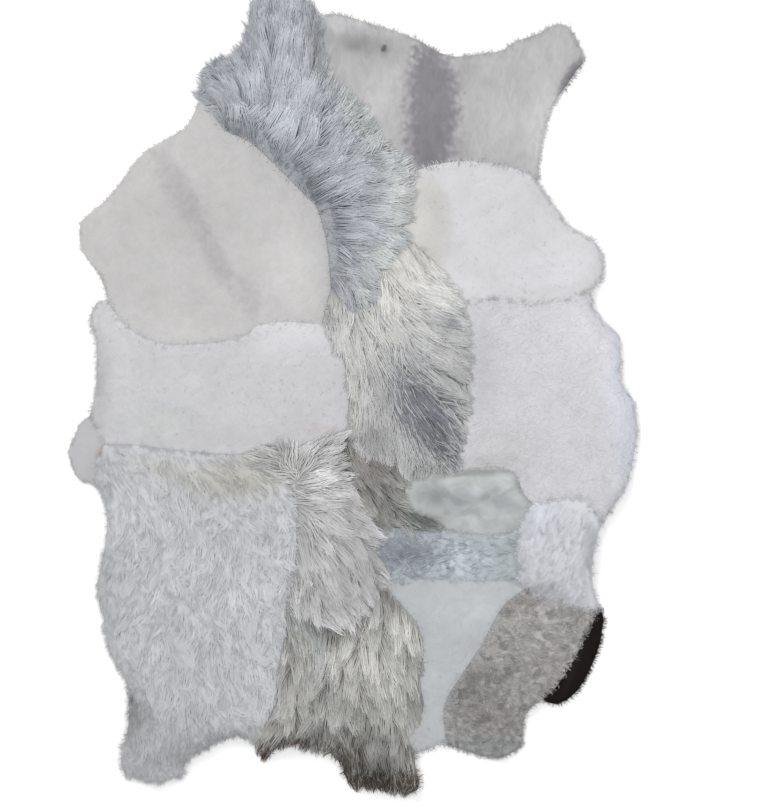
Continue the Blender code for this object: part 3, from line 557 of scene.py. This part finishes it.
# All strands of one panel as courses with heights, and each strand's shade values.
def growHair(outline, look, hair, chance):
    area = outlineArea(outline)
    count = round(hair["dense"] * area)
    points = hair["points"]
    roots = randomInside(outline, count, chance)
    lockSpots = randomInside(outline, max(8, round(area / hair["lock"] ** 2)), chance)
    lockCount = len(lockSpots)
    lock = np.concatenate([((part[:, None] - lockSpots[None]) ** 2).sum(2).argmin(1)
                           for part in np.array_split(roots, 1 + count // 1000)])
    lockTurn = np.radians(chance.normal(0, hair["stray"], lockCount))
    lockBend = np.radians(chance.normal(0, hair["bend"], lockCount))
    if hair["bend"] > 90:
        lockBend = np.radians(hair["bend"]) * chance.choice([-1, 1], lockCount) * chance.uniform(0.7, 1.2, lockCount)
    longest = hair["length"][1]
    lockRun = runInside(lockSpots, lockTurn, lockBend, outline, look["flow"], longest)
    lockLength = np.minimum(chance.uniform(*hair["length"], lockCount),
                            np.maximum(0.012, lockRun + hair["over"] * chance.uniform(-0.5, 1.0, lockCount)))
    turns = lockTurn[lock] + np.radians(chance.normal(0, hair["stray"] * 0.5, count))
    bends = lockBend[lock] * chance.uniform(0.6, 1.3, count)
    ownRun = runInside(roots, turns, bends, outline, look["flow"], longest)
    lengths = np.minimum(chance.uniform(*hair["length"], count) * 0.5 + lockLength[lock] * 0.5,
                         np.maximum(0.008, ownRun + hair["over"] * chance.uniform(-0.7, 1.0, count)))
    own = followFlow(roots, lengths, turns, bends, look["flow"], points)
    middle = followFlow(lockSpots, lockLength, lockTurn, lockBend, look["flow"], points)[lock]
    share = np.linspace(0, 1, points)
    gather = (hair["gather"] * chance.uniform(0.5, 1.15, count))[:, None, None] * (share ** 1.2)[None, :, None]
    own = own * (1 - gather) + middle * gather
    if hair["wave"]:
        phase = chance.uniform(0, 2 * math.pi, lockCount)[lock] + chance.normal(0, 0.5, count)
        ahead = np.gradient(own, axis=1)
        ahead /= np.linalg.norm(ahead, axis=2, keepdims=True) + 1e-9
        sideways = np.stack([ahead[..., 1], -ahead[..., 0]], 2)
        swing = np.sin(phase[:, None] + 2 * math.pi * share[None] * (lengths / hair["waveLength"])[:, None])
        own = own + sideways * (hair["wave"] * swing * share[None] ** 0.5)[..., None]
    pile = pileAt(own)
    layer = chance.uniform(0, 1, count)[:, None]
    rise = np.sin(math.pi * share ** 0.8)[None] if points > 2 else np.array([[0.0, 1.0]])
    heights = pile + hair["lift"] * rise * (0.35 + 0.9 * layer) - 0.0022 * (1 - share)[None] - 0.0012 * layer
    heights = np.clip(heights, hair["width"] * 0.5, topOfHair)
    strands = np.concatenate([own, heights[..., None]], 2)
    tone = np.clip(0.5 + hair["lockTone"] * chance.normal(0, 1, lockCount)[lock] + 0.10 * chance.normal(0, 1, count), 0, 1)
    uneven = np.repeat(chance.normal(0, hair["mix"], count), points)
    shades = shadeStrands(own, look, hair, tone, uneven)
    return strands, hair["width"] * chance.uniform(0.75, 1.2, count), shades


# Three-sided tapered tubes, closed at the root and pointed at the tip, as points, triangles and shades.
def strandShapes(strands, widths, pointShades, rootTint, roundness):
    count, points, _ = strands.shape
    rings = points - 1
    ahead = np.gradient(strands, axis=1)
    ahead /= np.linalg.norm(ahead, axis=2, keepdims=True) + 1e-12
    side = np.stack([ahead[..., 1], -ahead[..., 0], np.zeros((count, points))], 2)
    side /= np.linalg.norm(side, axis=2, keepdims=True) + 1e-9
    up = np.cross(side, ahead)
    share = np.linspace(0, 1, points)
    taper = np.clip(1 - share ** 2.4, 0.12, 1) * np.where(share == 0, 0.8, 1)
    half = (widths[:, None] * taper[None] / 2)[..., None]
    corners = np.stack([strands + side * half, strands - side * half, strands + up * half * 2 * roundness], 2)[:, :rings]
    flat = np.concatenate([corners.reshape(count, rings * 3, 3), strands[:, -1:]], 1)
    flat[..., 2] = np.maximum(flat[..., 2], 0.0006)
    faces = [(0, 1, 2)]
    for ring in range(rings - 1):
        a, b = ring * 3, ring * 3 + 3
        for n in range(3):
            m = (n + 1) % 3
            faces += [(a + n, b + n, b + m), (a + n, b + m, a + m)]
    last = (rings - 1) * 3
    faces += [(last + n, rings * 3, last + (n + 1) % 3) for n in range(3)]
    faces = np.array(faces)[None] + (np.arange(count) * (rings * 3 + 1))[:, None, None]
    along = np.concatenate([np.repeat(share[:rings], 3), [1]])
    shades = np.empty((count, rings * 3 + 1, 4))
    shades[..., 0] = rootTint + (1 - rootTint) * along[None]
    shades[..., 1:] = np.concatenate([np.repeat(pointShades[:, :rings], 3, axis=1), pointShades[:, -1:]], 1)
    return flat.reshape(-1, 3), faces.reshape(-1, 3), shades.reshape(-1, 4)


# The dense wool under the strands: an uneven top on the pile's form, closed by a flat underside on the skin.
def baseShape(outline, look, hair, chance):
    step = baseChoices["grid"]
    low, high = outline.min(0), outline.max(0)
    columns, rows = np.meshgrid(np.arange(low[0], high[0], step), np.arange(low[1], high[1], step * 0.866))
    columns = columns + (np.arange(columns.shape[0]) % 2 * step / 2)[:, None]
    places = np.stack([columns.ravel(), rows.ravel()], 1)
    places = places[insideOutline(places, outline)]
    ways = np.roll(outline, -1, axis=0) - outline
    across = np.roll(outline, -1, axis=0) - np.roll(outline, 1, axis=0)
    across /= np.linalg.norm(across, axis=1, keepdims=True)
    outline = outline + baseChoices["reach"] * np.stack([across[:, 1], -across[:, 0]], 1)
    nearest = np.full(len(places), 1.0)
    for a, way in zip(outline, ways):
        share = np.clip(((places - a) @ way) / (way @ way), 0, 1)
        nearest = np.minimum(nearest, np.linalg.norm(places - a - share[:, None] * way, axis=1))
    places = places[nearest > step * 0.55]
    corners, _, faces, origins, _, _ = geometry.delaunay_2d_cdt(
        [Vector(p) for p in np.concatenate([outline, places])], [], [list(range(len(outline)))], 1, 1e-7)
    top = np.array(corners)
    order = np.array([source[0] for source in origins])
    floor = skinChoices["thickness"] + baseChoices["over"]
    heights = pileAt(top) * hair["share"] - hair["sink"]
    heights += hair["lump"] * chance.normal(0, 1, len(top)) * (order >= len(outline))
    heights = np.maximum(heights, floor + 0.0012)
    rim = np.argsort(order)[:len(outline)]
    under = np.concatenate([top[rim], np.full((len(rim), 1), floor)], 1)
    points = np.concatenate([np.concatenate([top, heights[:, None]], 1), under])
    faces = [list(face) for face in faces]
    first = len(top)
    count = len(rim)
    bottom = geometry.tessellate_polygon([[Vector(p) for p in under]])
    turn = 1
    for a, b, c in bottom:
        ab, ac = under[b] - under[a], under[c] - under[a]
        turn = 1 if ab[0] * ac[1] - ab[1] * ac[0] > 0 else -1
        faces.append([first + a, first + (c if turn > 0 else b), first + (b if turn > 0 else c)])
    for n in range(count):
        m = (n + 1) % count
        faces.append([first + n, first + m, int(rim[m])])
        faces.append([first + n, int(rim[m]), int(rim[n])])
    shades = np.empty((len(points), 4))
    shades[:, 0] = hair["baseTint"]
    tone = np.clip(0.5 + 0.06 * chance.normal(0, 1, len(points)), 0, 1)
    shades[:, 1] = woolLight(points[:, :2], look, tone, hair["contrast"])
    uneven = chance.normal(0, 0.4 * hair["mix"], len(points))
    shades[:, 2] = patchShare(points[:, :2], look["secondAt"], uneven)
    shades[:, 3] = patchShare(points[:, :2], look["thirdAt"], uneven)
    return points, np.array(faces), shades


# Light falls on a strand mostly as on the pile around it, so its normals lean upwards, less so in open long hair.
def softenNormals(mesh, relief):
    count = len(mesh.vertices)
    normals = np.empty(count * 3, np.float32)
    mesh.vertices.foreach_get("normal", normals)
    normals = normals.reshape(-1, 3) * relief + np.array([0, 0, 1 - relief])
    normals /= np.linalg.norm(normals, axis=1, keepdims=True) + 1e-9
    mesh.normals_split_custom_set_from_vertices(normals.tolist())


def meshObject(name, points, faces, shades, material):
    mesh = bpy.data.meshes.new(name)
    mesh.vertices.add(len(points))
    mesh.vertices.foreach_set("co", points.astype(np.float32).ravel())
    mesh.loops.add(len(faces) * 3)
    mesh.loops.foreach_set("vertex_index", faces.astype(np.int32).ravel())
    mesh.polygons.add(len(faces))
    mesh.polygons.foreach_set("loop_start", np.arange(0, len(faces) * 3, 3, dtype=np.int32))
    mesh.update(calc_edges=True)
    mesh.validate()
    mesh.shade_smooth()
    if shades is not None:
        layer = mesh.attributes.new("woolShade", "FLOAT_COLOR", "POINT")
        layer.data.foreach_set("color", shades.astype(np.float32).ravel())
    mesh.materials.append(material)
    piece = bpy.data.objects.new(name, mesh)
    bpy.context.scene.collection.objects.link(piece)
    return piece


def signedVolume(points, faces):
    a, b, c = (points[faces[:, n]] for n in range(3))
    return (a * np.cross(b, c)).sum() / 6


# Loose hair along the panel's cut edge, leaning outwards over its neighbours and the rim.
def growEdge(outline, look, hair, chance):
    ways = np.roll(outline, -1, axis=0) - outline
    reach = np.linalg.norm(ways, axis=1)
    count = int(reach.sum() / edgeChoices["step"])
    marks = chance.uniform(0, reach.sum(), count)
    side = np.searchsorted(np.cumsum(reach), marks)
    ahead = ways[side] / reach[side][:, None]
    outward = np.arctan2(-ahead[:, 0], ahead[:, 1])
    starts = outline[side] + ahead * (chance.uniform(0, 1, count) * reach[side])[:, None]
    starts = starts - np.stack([np.cos(outward), np.sin(outward)], 1) * chance.uniform(0, hair["edge"] * 0.6, count)[:, None]
    flow = hairWay(starts, look["flow"])
    lean = edgeChoices["follow"]
    ways = np.arctan2((1 - lean) * np.sin(outward) + lean * np.sin(flow), (1 - lean) * np.cos(outward) + lean * np.cos(flow))
    ways += np.radians(chance.normal(0, edgeChoices["stray"], count))
    lengths = hair["edge"] * chance.uniform(0.4, 1.0, count)
    turn = np.radians(chance.normal(0, 20, count))
    course = [starts]
    for number in range(2):
        way = ways + turn * number
        course.append(course[-1] + np.stack([np.cos(way), np.sin(way)], 1) * (lengths / 2)[:, None])
    course = np.stack(course, 1)
    heights = pileAt(course) * (hair["share"] - np.array([0.04, 0.0, 0.004])) - hair["sink"] + 0.0002
    heights += hair["edgeLift"] * np.array([0.0, 1.0, 0.8]) * chance.uniform(0, 1, (count, 1))
    heights = np.clip(heights, 0.0010, topOfHair)
    strands = np.concatenate([course, heights[..., None]], 2)
    tone = np.clip(0.5 + 0.16 * chance.normal(0, 1, count), 0, 1)
    uneven = np.repeat(chance.normal(0, hair["mix"], count), 3)
    shades = shadeStrands(course, look, hair, tone, uneven)
    return strands, edgeChoices["width"] * chance.uniform(0.7, 1.2, count), shades


def makeFleece(name, outline, look, seed):
    chance = np.random.default_rng(seed)
    hair = {**woolChoices, **hairKinds[look["kind"]], **look["change"]}
    points, faces, shades = strandShapes(*growHair(outline, look, hair, chance), hair["rootTint"], hair["round"])
    edgePoints, edgeFaces, edgeShades = strandShapes(*growEdge(outline, look, hair, chance), hair["rootTint"],
                                                    hair["round"])
    faces = np.concatenate([faces, edgeFaces + len(points)])
    points = np.concatenate([points, edgePoints])
    shades = np.concatenate([shades, edgeShades])
    if signedVolume(points, faces) < 0:
        faces = faces[:, ::-1]
    basePoints, baseFaces, baseShades = baseShape(outline, look, hair, chance)
    if signedVolume(basePoints, baseFaces) < 0:
        baseFaces = baseFaces[:, ::-1]
    allPoints = np.concatenate([points, basePoints])
    allFaces = np.concatenate([faces, baseFaces + len(points)])
    allShades = np.concatenate([shades, baseShades])
    material = woolMaterial(name + "Wool", look, hair)
    wool = meshObject(name + "_wool", allPoints, allFaces, allShades, material)
    softenNormals(wool.data, hair["relief"])
    return wool


# The smallest box that holds the cut panel, however it is turned.
def cutSize(outline):
    best = None
    for degrees in range(0, 90, 3):
        c, s = math.cos(math.radians(degrees)), math.sin(math.radians(degrees))
        turned = outline @ np.array([[c, -s], [s, c]])
        size = np.ptp(turned, axis=0)
        if best is None or size.prod() < best.prod():
            best = size
    return float(min(best)), float(max(best))


# The tanned skin: its cut outline, pulled up to its thickness by hand.
def makeSkin(name, outline, material):
    mesh = bpy.data.meshes.new(name + "_skin")
    mesh.from_pydata([(x, y, 0.0) for x, y in outline], [], [list(range(len(outline)))])
    skin = bpy.data.objects.new(name + "_skin", mesh)
    bpy.context.scene.collection.objects.link(skin)
    bpy.ops.object.select_all(action="DESELECT")
    bpy.context.view_layer.objects.active = skin
    skin.select_set(True)
    bpy.ops.object.mode_set(mode="EDIT")
    bpy.ops.mesh.select_all(action="SELECT")
    bpy.ops.mesh.extrude_region_move(TRANSFORM_OT_translate={"value": (0, 0, skinChoices["thickness"])})
    bpy.ops.mesh.select_all(action="SELECT")
    bpy.ops.mesh.normals_make_consistent(inside=False)
    bpy.ops.object.mode_set(mode="OBJECT")
    mesh.materials.append(material)
    skin.select_set(False)
    return skin


suede = suedeMaterial()
woolPieces = {}
totalTriangles = 0
for number, (panelName, panelLook) in enumerate(panelLooks.items()):
    outline = panelOutline(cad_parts[panelName])
    wool = makeFleece(panelName, outline, panelLook, 41 + number)
    skin = makeSkin(panelName, outline, suede)
    woolPieces[panelName] = wool
    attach(wool, "root")
    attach(skin, "root")
    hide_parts(panelName)
    cutSize(outline)
    totalTriangles += len(wool.data.polygons) + 2 * len(skin.data.polygons)
    print("stage 3:", panelName, len(wool.data.polygons), "triangles of wool")
print("stage 3: about", totalTriangles, "triangles in all")


def makeFloor():
    bpy.ops.object.select_all(action="DESELECT")
    bpy.ops.mesh.primitive_plane_add(size=floorChoices["side"], location=(0, 0, -floorChoices["drop"]))
    floor = bpy.context.active_object
    floor.name = "studio_floor"
    material, _, shader = newMaterial("paperFloor")
    shader.inputs["Base Color"].default_value = linearColour(floorChoices["colour"])
    shader.inputs["Roughness"].default_value = 0.9
    floor.data.materials.append(material)


def addLamp(name, place, size, power, colour):
    lamp = bpy.data.lights.new(name, "AREA")
    lamp.shape = "DISK"
    lamp.size = size
    lamp.energy = power
    lamp.color = colour
    holder = bpy.data.objects.new(name, lamp)
    holder.location = place
    holder.rotation_euler = (-Vector(place)).to_track_quat("-Z", "Y").to_euler()
    bpy.context.scene.collection.objects.link(holder)


def makeStudio():
    scene = bpy.context.scene
    scene.world = scene.world or bpy.data.worlds.new("studio")
    scene.world.use_nodes = True
    background = scene.world.node_tree.nodes["Background"]
    background.inputs["Color"].default_value = (1.0, 1.0, 1.0, 1)
    background.inputs["Strength"].default_value = 0.95
    addLamp("windowLamp", (-1.8, 2.8, 2.4), 1.4, 85, (1.0, 0.99, 0.98))
    addLamp("fillLamp", (2.2, -1.5, 3.4), 2.5, 25, (0.98, 0.99, 1.0))
    scene.view_settings.view_transform = "Standard"


def makeCamera():
    data = bpy.data.cameras.new("aboveCamera")
    data.sensor_width = cameraChoices["sensor"]
    data.lens = cameraChoices["sensor"] * cameraChoices["height"] / (photoSize[1] * planSquare)
    camera = bpy.data.objects.new("aboveCamera", data)
    aim = planPlace(*cameraChoices["aim"])
    camera.location = (aim[0], aim[1], cameraChoices["height"])
    bpy.context.scene.collection.objects.link(camera)
    bpy.context.scene.camera = camera


makeFloor()
makeStudio()
makeCamera()
print("stage 4: floor, lights and camera")
